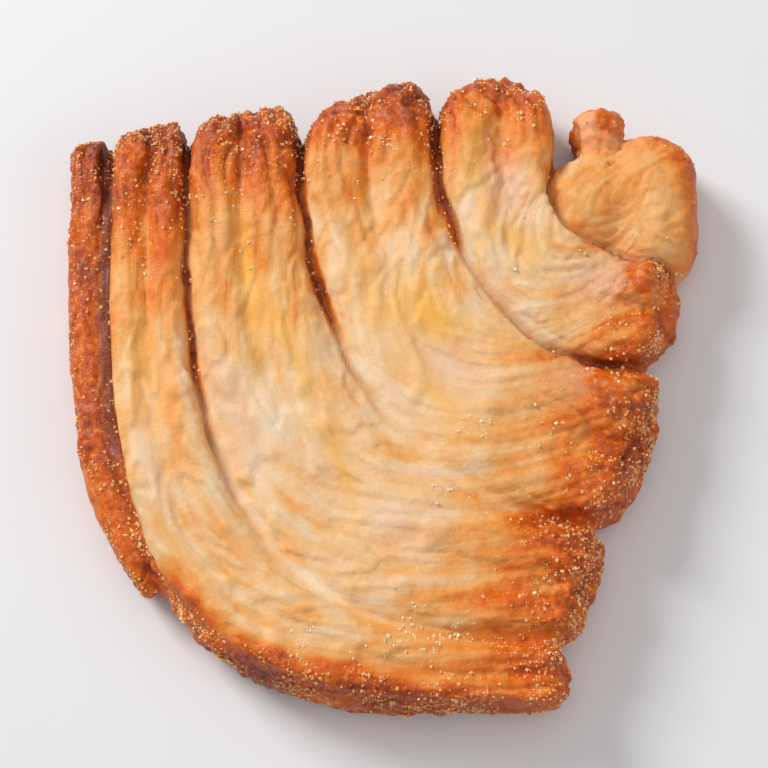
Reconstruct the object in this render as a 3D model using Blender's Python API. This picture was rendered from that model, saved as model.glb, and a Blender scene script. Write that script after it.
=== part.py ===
"""Palmier: a baked fan of folded puff pastry, lying on its flat underside. Metres, +Z up.

The fan is a bundle of dough folds. Each fold starts in a rounded tip on the back edge, runs forward, bends
round to the right and ends in a second tip on the right edge, so that all of them bend round the fan's inner
corner. Most folds are two limbs of dough that share one tip, with a shallow seam between them. The creases
between the folds are deep at the tips, and webs of dough all but close them in the bend.
"""

import math
import random
from collections import namedtuple

import bpy
import numpy as np
from mathutils import Matrix

# The two straight edges that the tips stand on, each from the fan's outer side to the core
BACK_EDGE = ((-0.0362, 0.0262), (0.0216, 0.0270))
RIGHT_EDGE = ((0.0176, -0.0383), (0.0304, 0.0136))

# Heights: the crest of a limb, of the slumped outermost skin, and the line where every section is widest
CREST_HEIGHT = 0.0116
SKIN_HEIGHT = 0.0086
WIDEST_HEIGHT = 0.0046
# The seam between the limbs of a fold is this deep, and closes by this share of that away from the tips. It
# is open over the first share of the path from the back, and closes over the second.
SEAM_DEPTH = 0.0012
SEAM_CLOSING = 0.75
SEAM_OPEN_SHARE = 0.12
SEAM_CLOSING_SHARE = 0.3
# The creases between folds are this deep in the bend
WEB_DEPTH = 0.0010
# How far a round underside would reach below the tray that flattened it
UNDERSIDE_DEPTH = 0.0016

# The bend is a superellipse quarter: nearly a circle inside, squarer over this outer share of the fan
INNER_SQUARENESS = 1.9
OUTER_SQUARENESS = 3.5
SQUARE_SHARE = 0.54

Fold = namedtuple("Fold", "name back_widths right_widths back_reaches right_reaches set_back roundness")

# From the outer side inwards. Widths divide the back edge and the right edge among the limbs in proportion,
# and reaches are how far the tips stand out past those edges. A limb's tips stop short of its fold's by the
# set-back, and roundness is how many times longer than usual the fold's back tip is.
FOLDS = (
    Fold("skin", (0.0048,), (0.0004,), (0.0028,), (0.0,), 0.0, 1.0),
    Fold("first", (0.0046, 0.0044), (0.0032, 0.0040), (0.0038, 0.0048), (0.0034, 0.0028), 0.0005, 1.0),
    Fold("second", (0.0062, 0.0070), (0.0068, 0.0074), (0.0056, 0.0068), (0.0038, 0.0040), 0.0005, 1.0),
    Fold("third", (0.0078, 0.0082), (0.0102, 0.0096), (0.0074, 0.0098), (0.0064, 0.0066), 0.0005, 1.0),
    Fold("fourth", (0.0074, 0.0072), (0.0072, 0.0066), (0.0106, 0.0100), (0.0066, 0.0062), 0.0018, 1.4),
)
# The skin ends in a lip part of the way round, at this share of its path, and thins out towards it
SKIN_END = 0.53

# The core, which fills the fan's inner corner: rounded fingers of dough from one point to another
Finger = namedtuple("Finger", "name start end half_width height")
CORE = (
    Finger("core_back", (0.0248, 0.0142), (0.0252, 0.0266), 0.0058, 0.0114),
    Finger("core_right", (0.0322, 0.0112), (0.0325, 0.0296), 0.0056, 0.0108),
    Finger("nub", (0.0266, 0.0220), (0.0266, 0.0320), 0.0026, 0.0090),
    Finger("nub_head", (0.0234, 0.0300), (0.0292, 0.0304), 0.0025, 0.0096),
)

# How far a limb swells past its own share of the width: towards a seam, a crease, and anywhere in the bend
SEAM_SWELL = 0.42
CREASE_SWELL = 0.12
BEND_SWELL = 0.10
# Taken off at the tips, where folds part, over this share of the path
TIP_PARTING = 0.12
TIP_SHARE = 0.12
# The round core presses into the fan's inner side: this deep, most of all at this share of the path, and
# fading out over this share of it either way. It leaves each body at least this share of its width there.
CORE_PRESS = 0.0040
PRESS_SHARE = 0.40
PRESS_SPREAD = 0.30
PRESSED_WIDTH = 0.2

# Superellipse exponents of the section and of a tip seen from above
FOLD_SQUARENESS = 3.0
LIMB_SQUARENESS = 2.6
TIP_SQUARENESS = 2.2
# The length over which a tip is rounded, as a share of its half width: on any side, and on the side of a
# limb's back tip that faces a crease or a seam. The skin's lip thins out over the last pair, outer and inner.
TIP_LENGTH = 1.15
CREASE_TIP_LENGTH = 2.5
SEAM_TIP_LENGTH = 1.0
LEAST_TIP_LENGTH = 0.0022
SKIN_LIP_LENGTHS = (18.0, 2.0)
# A web starts and ends this far inside the back and the right edge, and thins out over these lengths, all as
# shares of its path
WEB_INSETS = (0.24, 0.07)
WEB_TIP_LENGTHS = (0.22, 0.12)
# How much further out the inner side of every tip stands on the right edge, as a slope across the tip. Where
# the two limbs of a fold have unequal reaches, that slope is added, at either edge.
RIGHT_LEAN = 0.30
# A tip takes on its slope, and its seam opens at the right edge, over this share of the path
LEAN_SHARE = 0.2

# Unevenness of the bake: shares of the width, and metres of height and sideways sway
WIDTH_UNEVENNESS = 0.05
HEIGHT_UNEVENNESS = 0.0004
SWAY = 0.0004

SECTION_POINTS = 16
STATION_SPACING = 0.0034
TIP_RINGS = 5
CURVE_SAMPLES = 240
TRAY_BLOCK = 0.12

# A strand's ends are the shares of the two edges on its outer side and on its inner side. Its tips are
# rounded over two lengths at the back and two at the right, as shares of half its width, outer side first.
Strand = namedtuple("Strand", "kind name ends reaches leans tips swells crest seed")


def clear_scene():
    for obj in list(bpy.data.objects):
        bpy.data.objects.remove(obj)


def pastry_material():
    material = bpy.data.materials.new("baked_pastry")
    material.use_nodes = True
    shader = material.node_tree.nodes["Principled BSDF"]
    shader.inputs["Base Color"].default_value = (0.72, 0.42, 0.17, 1.0)
    shader.inputs["Roughness"].default_value = 0.45
    shader.inputs["Metallic"].default_value = 0.0
    return material


def unevenness(seed):
    """A smooth seeded wave, about -1 to 1, as a function of the share of the path."""
    rng = random.Random(seed)
    waves = [(rng.uniform(0.7, 1.3) * turns, rng.uniform(0.0, math.tau)) for turns in (1.0, 2.3, 4.1)]

    def wave(share):
        parts = [np.sin(math.tau * turns * share + phase) / (1 + k) for k, (turns, phase) in enumerate(waves)]
        return sum(parts) / 1.6

    return wave


def smooth_step(x):
    x = np.clip(x, 0, 1)
    return x * x * (3 - 2 * x)


def on_edge(edge, share):
    start, end = np.array(edge[0]), np.array(edge[1])
    return start + (end - start) * share


def bend_curve(back_share, right_share):
    """Evenly spaced points from the back edge round to the right edge, at these shares of the two edges."""
    start, end = on_edge(BACK_EDGE, back_share), on_edge(RIGHT_EDGE, right_share)
    outer = 1 - smooth_step(back_share / SQUARE_SHARE)
    power = 2 / (INNER_SQUARENESS + (OUTER_SQUARENESS - INNER_SQUARENESS) * outer)
    angle = np.linspace(0.0, math.pi / 2, CURVE_SAMPLES)
    across = 1 - np.clip(np.cos(angle), 0, 1) ** power
    along = np.sin(angle) ** power
    points = start + (end - start) * np.stack([across, along], axis=1)
    travelled = np.concatenate([[0.0], np.cumsum(np.linalg.norm(np.diff(points, axis=0), axis=1))])
    even = np.linspace(0.0, travelled[-1], CURVE_SAMPLES)
    return np.stack([np.interp(even, travelled, points[:, k]) for k in (0, 1)], axis=1)


def edge_shares():
    """The shares of the back edge and of the right edge at which the limbs begin and end, outermost first."""
    ends = []
    for widths in (
        [width for fold in FOLDS for width in fold.back_widths],
        [width for fold in FOLDS for width in fold.right_widths],
    ):
        ends.append(np.concatenate([[0.0], np.cumsum(widths)]) / sum(widths))
    return list(zip(*ends))


def slope(reaches, widths):
    """How much further out the second limb's tip stands than the first's, per metre of width."""
    return 0.0 if len(widths) == 1 else (reaches[1] - reaches[0]) * 2 / sum(widths)


def strands():
    """The bodies of the fan: the folds' envelopes, where they have two limbs, the limbs, and the webs."""
    shares, found, limb = edge_shares(), [], 0
    any_tip = (TIP_LENGTH, TIP_LENGTH)
    for number, fold in enumerate(FOLDS):
        count = len(fold.back_widths)
        paired = count > 1
        crest = CREST_HEIGHT if paired else SKIN_HEIGHT
        back_lean = slope(fold.back_reaches, fold.back_widths)
        leans = (back_lean, RIGHT_LEAN + slope(fold.right_reaches, fold.right_widths))
        if paired:
            ends = (shares[limb], shares[limb + count])
            reaches = (sum(fold.back_reaches) / count, sum(fold.right_reaches) / count)
            swells = (CREASE_SWELL / count, CREASE_SWELL / count)
            tips = (np.multiply(any_tip, fold.roundness), any_tip)
            floor = crest - SEAM_DEPTH
            found.append(Strand("fold", fold.name, ends, reaches, leans, tips, swells, floor, 10 * number))
        if paired and found[-2].kind == "limb":
            # The web reaches to the middle of the limb on either side of the crease
            ends = (np.add(shares[limb - 1], shares[limb]) / 2, np.add(shares[limb], shares[limb + 1]) / 2)
            none = (0.0, 0.0)
            floor = crest - WEB_DEPTH
            name = f"{fold.name}_web"
            found.append(Strand("web", name, ends, none, none, (none, none), none, floor, 10 * number))
        for k in range(count):
            name = f"{fold.name}_limb_{k + 1}" if paired else fold.name
            reaches = (fold.back_reaches[k] - fold.set_back, fold.right_reaches[k] - fold.set_back)
            seam_sides = (k > 0, k < count - 1)
            swells = [SEAM_SWELL if seam else CREASE_SWELL for seam in seam_sides]
            back_tips = [SEAM_TIP_LENGTH if seam else CREASE_TIP_LENGTH for seam in seam_sides]
            tips = (back_tips, any_tip) if paired else (any_tip, SKIN_LIP_LENGTHS)
            ends = (shares[limb + k], shares[limb + k + 1])
            kind = "limb" if paired else "skin"
            found.append(Strand(kind, name, ends, reaches, leans, tips, swells, crest, 10 * number + k + 1))
        limb += count
    return found


def station_distances(back_reach, back_tip, end, end_tip):
    """Distances along a strand from its edge: rings crowd into the two tips and are even between them."""
    angle = np.linspace(0.0, math.pi / 2, TIP_RINGS + 1)
    back = -back_reach + back_tip * (1 - np.cos(angle))
    front = end - end_tip * (1 - np.cos(angle[::-1]))
    count = max(3, round((front[0] - back[-1]) / STATION_SPACING))
    return np.concatenate([back[:-1], np.linspace(back[-1], front[0], count), front[1:]])


def tip_scale(from_tip):
    """Size of a section at this share of the tip's length, from 0 at the very end to 1."""
    return (1 - (1 - np.clip(from_tip, 0, 1)) ** TIP_SQUARENESS) ** (1 / TIP_SQUARENESS)


def side_width(half_width, swell, share):
    """Half width on one side: swollen, more so in the bend and less at the tips."""
    bend = smooth_step((share - 0.25) / 0.25) * smooth_step((0.95 - share) / 0.2)
    tips = 1 - smooth_step(np.minimum(share, 1 - share) / TIP_SHARE)
    return half_width * (1 + swell + BEND_SWELL * bend - TIP_PARTING * tips)


def path(ends):
    """The centre line between two shares of the fan, the direction across, half the width and the length."""
    outer, inner = bend_curve(*ends[0]), bend_curve(*ends[1])
    centre = bend_curve(*(np.add(*ends) / 2))
    tangent = np.gradient(centre, axis=0)
    tangent /= np.linalg.norm(tangent, axis=1)[:, None]
    across = np.stack([-tangent[:, 1], tangent[:, 0]], axis=1)
    half_width = np.abs(((inner - outer) * across).sum(axis=1)) / 2
    return centre, across, half_width, np.linalg.norm(np.diff(centre, axis=0), axis=1).sum()


def sampled(values, share):
    """Values given at each sample of a path, read between the samples at these shares of its length."""
    at = share * (CURVE_SAMPLES - 1)
    below = np.minimum(at.astype(int), CURVE_SAMPLES - 2)
    part = (at - below).reshape(-1, *[1] * (values.ndim - 1))
    return values[below] * (1 - part) + values[below + 1] * part


def strand_mesh(strand):
    """The closed body swept along a strand."""
    centre, across, half_width, length = path(strand.ends)
    back = strand.reaches[0]
    end = length * SKIN_END if strand.kind == "skin" else length + strand.reaches[1]
    last = round(min(end / length, 1) * (CURVE_SAMPLES - 1))
    back_tips = np.maximum(np.multiply(strand.tips[0], half_width[0]), LEAST_TIP_LENGTH)
    right_tips = np.maximum(np.multiply(strand.tips[1], half_width[last]), LEAST_TIP_LENGTH)
    if strand.kind == "web":
        back, end = -WEB_INSETS[0] * length, (1 - WEB_INSETS[1]) * length
        back_tips, right_tips = ((share * length, share * length) for share in WEB_TIP_LENGTHS)
    distance = station_distances(back, max(back_tips), end, max(right_tips))
    share = np.clip(distance / length, 0, 1)
    across, half_width = sampled(across, share), sampled(half_width, share)
    along = np.stack([across[:, 1], -across[:, 0]], axis=1)
    sway, swell = (unevenness(1000 * (strand.seed + 1) + k)(share) for k in range(2))
    sway *= SWAY * np.sin(math.pi * share)
    past_edge = distance - share * length
    point = sampled(centre, share) + along * past_edge[:, None] + across * sway[:, None]

    half_width = half_width * (1 + WIDTH_UNEVENNESS * swell)
    lean = strand.leans[1] * smooth_step((share - 1 + LEAN_SHARE) / LEAN_SHARE)
    lean -= strand.leans[0] * smooth_step((LEAN_SHARE - share) / LEAN_SHARE)
    towards = across + lean[:, None] * along
    scales = [
        tip_scale((distance + back) / back_tip) * tip_scale((end - distance) / right_tip)
        for back_tip, right_tip in zip(back_tips, right_tips)
    ]
    press = CORE_PRESS * np.exp(-(((share - PRESS_SHARE) / PRESS_SPREAD) ** 2))
    presses = (0.0, press if math.isclose(min(strand.ends[1]), 1.0) else 0.0)
    swollen = [side_width(half_width, side_swell, share) for side_swell in strand.swells]
    widths = [np.maximum(width - by, PRESSED_WIDTH * width) for width, by in zip(swollen, presses)]
    sides = [towards * (width * scale)[:, None] for width, scale in zip(widths, scales)]
    # The limbs of a fold rise and fall together
    crest = strand.crest + HEIGHT_UNEVENNESS * unevenness(strand.seed // 10)(share)
    if strand.kind == "fold":
        closing = smooth_step((share - SEAM_OPEN_SHARE) / SEAM_CLOSING_SHARE)
        closing *= smooth_step((1 - share) / LEAN_SHARE)
        crest += SEAM_DEPTH * SEAM_CLOSING * closing
    squareness = FOLD_SQUARENESS if strand.kind in ("fold", "web") else LIMB_SQUARENESS
    return body(strand.name, point, sides, crest, WIDEST_HEIGHT, sum(scales) / 2, squareness)


def finger_mesh(finger):
    """A straight rounded finger of dough."""
    start, end = np.array(finger.start), np.array(finger.end)
    length = np.linalg.norm(end - start)
    along = (end - start) / length
    across = np.array([-along[1], along[0]])
    tip = finger.half_width * TIP_LENGTH
    distance = station_distances(0.0, tip, length, tip)
    scale = tip_scale(distance / tip) * tip_scale((length - distance) / tip)
    side = across * finger.half_width * scale[:, None]
    point = start + along * distance[:, None]
    crest = np.full(len(distance), finger.height)
    widest = min(WIDEST_HEIGHT, finger.height / 2)
    return body(finger.name, point, (side, side), crest, widest, scale, LIMB_SQUARENESS)


def body(name, point, sides, crest, widest, scale, squareness):
    """A closed body with a superellipse section at each point.

    Sides are its outer and its inner half width there, as vectors, and scale shrinks its height.
    """
    angle = math.tau * np.arange(SECTION_POINTS) / SECTION_POINTS
    power = 2 / squareness
    lateral = (np.sign(np.cos(angle)) * np.abs(np.cos(angle)) ** power)[None, :, None]
    upward = np.sign(np.sin(angle)) * np.abs(np.sin(angle)) ** power
    place = point[:, None] + lateral * np.where(lateral > 0, sides[1][:, None], sides[0][:, None])
    tall = np.where(upward > 0, crest[:, None] - widest, widest + UNDERSIDE_DEPTH)
    height = widest + tall * upward * scale[:, None]
    rings = np.concatenate([place, height[..., None]], axis=2)
    return tube(name, rings[1:-1], [(*point[k], widest) for k in (0, -1)])


def tube(name, rings, poles):
    """A mesh through rings of points, closed by a fan of faces round a pole at each end."""
    count, points = rings.shape[:2]
    vertices = rings.reshape(-1, 3).tolist() + poles
    first, last = count * points, count * points + 1
    faces = []
    for j in range(points):
        after = (j + 1) % points
        for k in range(0, (count - 1) * points, points):
            faces.append((k + j, k + after, k + points + after, k + points + j))
        top = (count - 1) * points
        faces.append((after, j, first))
        faces.append((top + j, top + after, last))
    mesh = bpy.data.meshes.new(name)
    mesh.from_pydata(vertices, [], faces)
    mesh.update()
    return mesh


def add_object(name, mesh, collection):
    obj = bpy.data.objects.new(name, mesh)
    collection.objects.link(obj)
    return obj


def tray_cutter(collection):
    """A block whose top is the baking tray, so that it flattens the whole underside at height 0."""
    half = TRAY_BLOCK / 2
    corners = [(x, y, z) for z in (-TRAY_BLOCK, 0.0) for y in (-half, half) for x in (-half, half)]
    faces = [(0, 2, 3, 1), (4, 5, 7, 6), (0, 1, 5, 4), (2, 6, 7, 3), (0, 4, 6, 2), (1, 3, 7, 5)]
    mesh = bpy.data.meshes.new("tray")
    mesh.from_pydata(corners, [], faces)
    cutter = add_object("tray", mesh, collection)
    cutter.hide_render = True
    cutter.display_type = "WIRE"
    return cutter


def add_boolean(obj, operation, **operand):
    modifier = obj.modifiers.new(operation.lower(), "BOOLEAN")
    modifier.operation = operation
    modifier.solver = "MANIFOLD"
    for key, value in operand.items():
        setattr(modifier, key, value)


def main():
    clear_scene()
    scene_collection = bpy.context.scene.collection
    others = bpy.data.collections.new("other_strands")
    scene_collection.children.link(others)
    meshes = [strand_mesh(s) for s in strands()] + [finger_mesh(finger) for finger in CORE]
    palmier = add_object("palmier", meshes[0], scene_collection)
    for mesh in meshes[1:]:
        add_object(mesh.name, mesh, others)
    tray = tray_cutter(scene_collection)
    add_boolean(palmier, "UNION", operand_type="COLLECTION", collection=others)
    add_boolean(palmier, "DIFFERENCE", object=tray)
    bpy.context.view_layer.update()

    graph = bpy.context.evaluated_depsgraph_get()
    joined = bpy.data.meshes.new_from_object(palmier.evaluated_get(graph))
    corners = [(min(values), max(values)) for values in zip(*(vertex.co for vertex in joined.vertices))]
    joined.transform(Matrix.Translation((-sum(corners[0]) / 2, -sum(corners[1]) / 2, 0.0)))
    palmier.modifiers.clear()
    palmier.data = joined
    for obj in [*others.objects, tray]:
        bpy.data.objects.remove(obj)
    bpy.data.collections.remove(others)

    palmier.data.shade_smooth()
    palmier.data.set_sharp_from_angle(angle=math.radians(50))
    palmier.data.materials.clear()
    palmier.data.materials.append(pastry_material())


main()
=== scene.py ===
"""The look of a palmier on a pale floor: flaky folds of puff pastry, caramelised and sugared at the tips.

Metres, +Z up. First comes the pastry's form, made in the plan that the CAD part was designed in and moved on
to the part at the end, and then its surface, colours and sugar, the floor, the lights and the camera.
"""

import itertools
import math
import random
from collections import namedtuple

import bpy
import numpy as np
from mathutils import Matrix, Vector, kdtree


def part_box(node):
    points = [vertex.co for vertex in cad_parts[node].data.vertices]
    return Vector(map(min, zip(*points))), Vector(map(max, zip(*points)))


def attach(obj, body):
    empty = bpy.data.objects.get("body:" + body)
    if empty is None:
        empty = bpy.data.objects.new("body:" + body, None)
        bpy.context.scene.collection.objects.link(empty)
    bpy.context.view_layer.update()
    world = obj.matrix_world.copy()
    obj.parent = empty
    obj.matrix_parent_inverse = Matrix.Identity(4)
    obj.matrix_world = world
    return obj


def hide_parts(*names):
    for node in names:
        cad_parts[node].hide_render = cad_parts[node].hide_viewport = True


# The form of the CAD part: the two straight edges that the tips stand on, from the outer side to the core
BACK_EDGE = ((-0.0362, 0.0262), (0.0216, 0.0270))
RIGHT_EDGE = ((0.0176, -0.0383), (0.0304, 0.0136))

# Heights: the crest of a limb, of the slumped outermost skin, and the line where every section is widest
CREST_HEIGHT = 0.0116
SKIN_HEIGHT = 0.0086
WIDEST_HEIGHT = 0.0046
# The seam between the limbs of a fold is this deep, and closes by this share of that away from the tips. It
# is open over the first share of the path from the back, and closes over the second.
SEAM_DEPTH = 0.0012
SEAM_CLOSING = 0.75
SEAM_OPEN_SHARE = 0.12
SEAM_CLOSING_SHARE = 0.3
# The creases between folds are this deep in the bend
WEB_DEPTH = 0.0010
# How far a round underside would reach below the tray that flattened it
UNDERSIDE_DEPTH = 0.0016

# The bend is a superellipse quarter: nearly a circle inside, squarer over this outer share of the fan
INNER_SQUARENESS = 1.9
OUTER_SQUARENESS = 3.5
SQUARE_SHARE = 0.54

Fold = namedtuple("Fold", "back_widths right_widths back_reaches right_reaches set_back roundness")

# The skin and the four folds, from the outer side inwards. Widths divide the two edges among the limbs in
# proportion, and reaches are how far the tips stand out past the edges. A limb's tips stop short of its
# fold's by the set-back, and roundness is how many times longer than usual the fold's back tip is.
FOLDS = (
    Fold((0.0048,), (0.0004,), (0.0028,), (0.0,), 0.0, 1.0),
    Fold((0.0046, 0.0044), (0.0032, 0.0040), (0.0038, 0.0048), (0.0034, 0.0028), 0.0005, 1.0),
    Fold((0.0062, 0.0070), (0.0068, 0.0074), (0.0056, 0.0068), (0.0038, 0.0040), 0.0005, 1.0),
    Fold((0.0078, 0.0082), (0.0102, 0.0096), (0.0074, 0.0098), (0.0064, 0.0066), 0.0005, 1.0),
    Fold((0.0074, 0.0072), (0.0072, 0.0066), (0.0106, 0.0100), (0.0066, 0.0062), 0.0018, 1.4),
)
# The skin ends in a lip part of the way round, at this share of its path, and thins out towards it
SKIN_END = 0.53

# The core in the fan's inner corner, as rounded fingers of dough from one point to another: its bulge, its
# right lobe, its nub and the nub's head
Finger = namedtuple("Finger", "start end half_width height")
CORE = (
    Finger((0.0248, 0.0142), (0.0252, 0.0266), 0.0058, 0.0114),
    Finger((0.0322, 0.0112), (0.0325, 0.0296), 0.0056, 0.0108),
    Finger((0.0266, 0.0220), (0.0266, 0.0320), 0.0026, 0.0090),
    Finger((0.0234, 0.0300), (0.0292, 0.0304), 0.0025, 0.0096),
)

# How far a limb swells past its own share of the width: towards a seam, a crease, and anywhere in the bend
SEAM_SWELL = 0.42
CREASE_SWELL = 0.12
BEND_SWELL = 0.10
# Taken off at the tips, where folds part, over this share of the path
TIP_PARTING = 0.12
TIP_SHARE = 0.12
# The round core presses into the fan's inner side: this deep, most of all at this share of the path, and
# fading out over this share of it either way. It leaves each body at least this share of its width there.
CORE_PRESS = 0.0040
PRESS_SHARE = 0.40
PRESS_SPREAD = 0.30
PRESSED_WIDTH = 0.2

# Superellipse exponents of the section and of a tip seen from above
FOLD_SQUARENESS = 3.0
LIMB_SQUARENESS = 2.6
TIP_SQUARENESS = 2.2
# The length over which a tip is rounded, as a share of its half width: on any side, and on the side of a
# limb's back tip that faces a crease or a seam. The skin's lip thins out over the last pair, outer and inner.
TIP_LENGTH = 1.15
CREASE_TIP_LENGTH = 2.5
SEAM_TIP_LENGTH = 1.0
LEAST_TIP_LENGTH = 0.0022
SKIN_LIP_LENGTHS = (18.0, 2.0)
# A web starts and ends this far inside the back and the right edge, and thins out over these lengths, all as
# shares of its path
WEB_INSETS = (0.24, 0.07)
WEB_TIP_LENGTHS = (0.22, 0.12)
# How much further out the inner side of every tip stands on the right edge, as a slope across the tip. Where
# the two limbs of a fold have unequal reaches, that slope is added, at either edge.
RIGHT_LEAN = 0.30
# A tip takes on its slope, and its seam opens at the right edge, over this share of the path
LEAN_SHARE = 0.2

# Unevenness of the bake: shares of the width, and metres of height and sideways sway
WIDTH_UNEVENNESS = 0.05
HEIGHT_UNEVENNESS = 0.0004
SWAY = 0.0004

# How finely the bodies are made, and the grain of the mesh that joins them
SECTION_POINTS = 48
STATION_SPACING = 0.0012
TIP_RINGS = 14
CURVE_SAMPLES = 240
GRAIN = 0.00034
# The share of its triangles that the flat underside keeps, and how near to the tray it starts
UNDERSIDE_SHARE = 0.25
UNDERSIDE_HEIGHT = 0.0001
# Rounds of smoothing, and how strongly each moves the vertices: all of them, those down in the gaps between
# folds, those on top of the core, those of its nub, the joint round the core, and the most for any vertex
SMOOTHING_ROUNDS = 36
EVERYWHERE_SHARE = 0.03
GAP_SHARE = 0.7
CORE_SHARE = 0.5
NUB_SHARE = 0.08
JOINT_SHARE = 0.4
MOST_SHARE = 0.8
# Rounds over which the relief fades out towards the line between the core and the folds
CORE_FADE_ROUNDS = 14

# The map over the fan that tells each point its fold: lines across it, how far it goes past the edges, and
# how many cells a point may lie from the nearest corner
MAP_LINES = 181
MAP_MARGIN = 0.014
MAP_MARGIN_POINTS = 28
MOST_CELLS = 20

Strand = namedtuple("Strand", "kind ends reaches leans tips swells crest seed")


def unevenness(seed):
    """A smooth seeded wave, about -1 to 1, as a function of the share of the path."""
    rng = random.Random(seed)
    waves = [(rng.uniform(0.7, 1.3) * turns, rng.uniform(0.0, math.tau)) for turns in (1.0, 2.3, 4.1)]

    def wave(share):
        parts = [np.sin(math.tau * turns * share + phase) / (1 + k) for k, (turns, phase) in enumerate(waves)]
        return sum(parts) / 1.6

    return wave


def smooth_step(x):
    x = np.clip(x, 0, 1)
    return x * x * (3 - 2 * x)


def on_edge(edge, share):
    start, end = np.array(edge)
    return start + (end - start) * share


def bend_curve(back_share, right_share):
    """Evenly spaced points from the back edge round to the right edge, at these shares of the two edges."""
    start, end = on_edge(BACK_EDGE, back_share), on_edge(RIGHT_EDGE, right_share)
    outer = 1 - smooth_step(back_share / SQUARE_SHARE)
    power = 2 / (INNER_SQUARENESS + (OUTER_SQUARENESS - INNER_SQUARENESS) * outer)
    angle = np.linspace(0.0, math.pi / 2, CURVE_SAMPLES)
    across = 1 - np.clip(np.cos(angle), 0, 1) ** power
    along = np.sin(angle) ** power
    points = start + (end - start) * np.stack([across, along], axis=1)
    travelled = np.concatenate([[0.0], np.cumsum(np.linalg.norm(np.diff(points, axis=0), axis=1))])
    even = np.linspace(0.0, travelled[-1], CURVE_SAMPLES)
    return np.stack([np.interp(even, travelled, points[:, k]) for k in (0, 1)], axis=1)


def edge_shares():
    """The shares of the two edges at which the limbs begin and end, outermost first."""
    ends = []
    for side in ("back_widths", "right_widths"):
        widths = [width for fold in FOLDS for width in getattr(fold, side)]
        ends.append(np.concatenate([[0.0], np.cumsum(widths)]) / sum(widths))
    return list(zip(*ends))


def slope(reaches, widths):
    """How much further out the second limb's tip stands than the first's, per metre of width."""
    return 0.0 if len(widths) == 1 else (reaches[1] - reaches[0]) * 2 / sum(widths)


def strands():
    """The bodies of the fan: the folds' envelopes, where they have two limbs, the limbs, and the webs."""
    shares, found, limb = edge_shares(), [], 0
    any_tip = (TIP_LENGTH, TIP_LENGTH)
    for number, fold in enumerate(FOLDS):
        count = len(fold.back_widths)
        paired = count > 1
        crest = CREST_HEIGHT if paired else SKIN_HEIGHT
        back_lean = slope(fold.back_reaches, fold.back_widths)
        leans = (back_lean, RIGHT_LEAN + slope(fold.right_reaches, fold.right_widths))
        if paired:
            ends = (shares[limb], shares[limb + count])
            reaches = (sum(fold.back_reaches) / count, sum(fold.right_reaches) / count)
            swells = (CREASE_SWELL / count, CREASE_SWELL / count)
            tips = (np.multiply(any_tip, fold.roundness), any_tip)
            floor = crest - SEAM_DEPTH
            found.append(Strand("fold", ends, reaches, leans, tips, swells, floor, 10 * number))
        if paired and found[-2].kind == "limb":
            # The web reaches to the middle of the limb on either side of the crease
            ends = (np.add(shares[limb - 1], shares[limb]) / 2, np.add(shares[limb], shares[limb + 1]) / 2)
            none = (0.0, 0.0)
            floor = crest - WEB_DEPTH
            found.append(Strand("web", ends, none, none, (none, none), none, floor, 10 * number))
        for k in range(count):
            reaches = (fold.back_reaches[k] - fold.set_back, fold.right_reaches[k] - fold.set_back)
            seam_sides = (k > 0, k < count - 1)
            swells = [SEAM_SWELL if seam else CREASE_SWELL for seam in seam_sides]
            back_tips = [SEAM_TIP_LENGTH if seam else CREASE_TIP_LENGTH for seam in seam_sides]
            tips = (back_tips, any_tip) if paired else (any_tip, SKIN_LIP_LENGTHS)
            ends = (shares[limb + k], shares[limb + k + 1])
            kind = "limb" if paired else "skin"
            found.append(Strand(kind, ends, reaches, leans, tips, swells, crest, 10 * number + k + 1))
        limb += count
    return found


def station_distances(back_reach, back_tip, end, end_tip):
    """Distances along a strand from its edge: rings crowd into the two tips and are even between them."""
    angle = np.linspace(0.0, math.pi / 2, TIP_RINGS + 1)
    back = -back_reach + back_tip * (1 - np.cos(angle))
    front = end - end_tip * (1 - np.cos(angle[::-1]))
    count = max(3, round((front[0] - back[-1]) / STATION_SPACING))
    return np.concatenate([back[:-1], np.linspace(back[-1], front[0], count), front[1:]])


def tip_scale(from_tip):
    """Size of a section at this share of the tip's length, from 0 at the very end to 1."""
    return (1 - (1 - np.clip(from_tip, 0, 1)) ** TIP_SQUARENESS) ** (1 / TIP_SQUARENESS)


def side_width(half_width, swell, share):
    """Half width on one side: swollen, more so in the bend and less at the tips."""
    bend = smooth_step((share - 0.25) / 0.25) * smooth_step((0.95 - share) / 0.2)
    tips = 1 - smooth_step(np.minimum(share, 1 - share) / TIP_SHARE)
    return half_width * (1 + swell + BEND_SWELL * bend - TIP_PARTING * tips)


def path(ends):
    """The centre line between two shares of the fan, the direction across, half the width and the length."""
    outer, inner = bend_curve(*ends[0]), bend_curve(*ends[1])
    centre = bend_curve(*(np.add(*ends) / 2))
    tangent = np.gradient(centre, axis=0)
    tangent /= np.linalg.norm(tangent, axis=1)[:, None]
    across = np.stack([-tangent[:, 1], tangent[:, 0]], axis=1)
    half_width = np.abs(((inner - outer) * across).sum(axis=1)) / 2
    return centre, across, half_width, np.linalg.norm(np.diff(centre, axis=0), axis=1).sum()


def sampled(values, share):
    """Values given at each sample of a path, read between the samples at these shares of its length."""
    at = share * (CURVE_SAMPLES - 1)
    below = np.minimum(at.astype(int), CURVE_SAMPLES - 2)
    part = (at - below).reshape(-1, *[1] * (values.ndim - 1))
    return values[below] * (1 - part) + values[below + 1] * part


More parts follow.
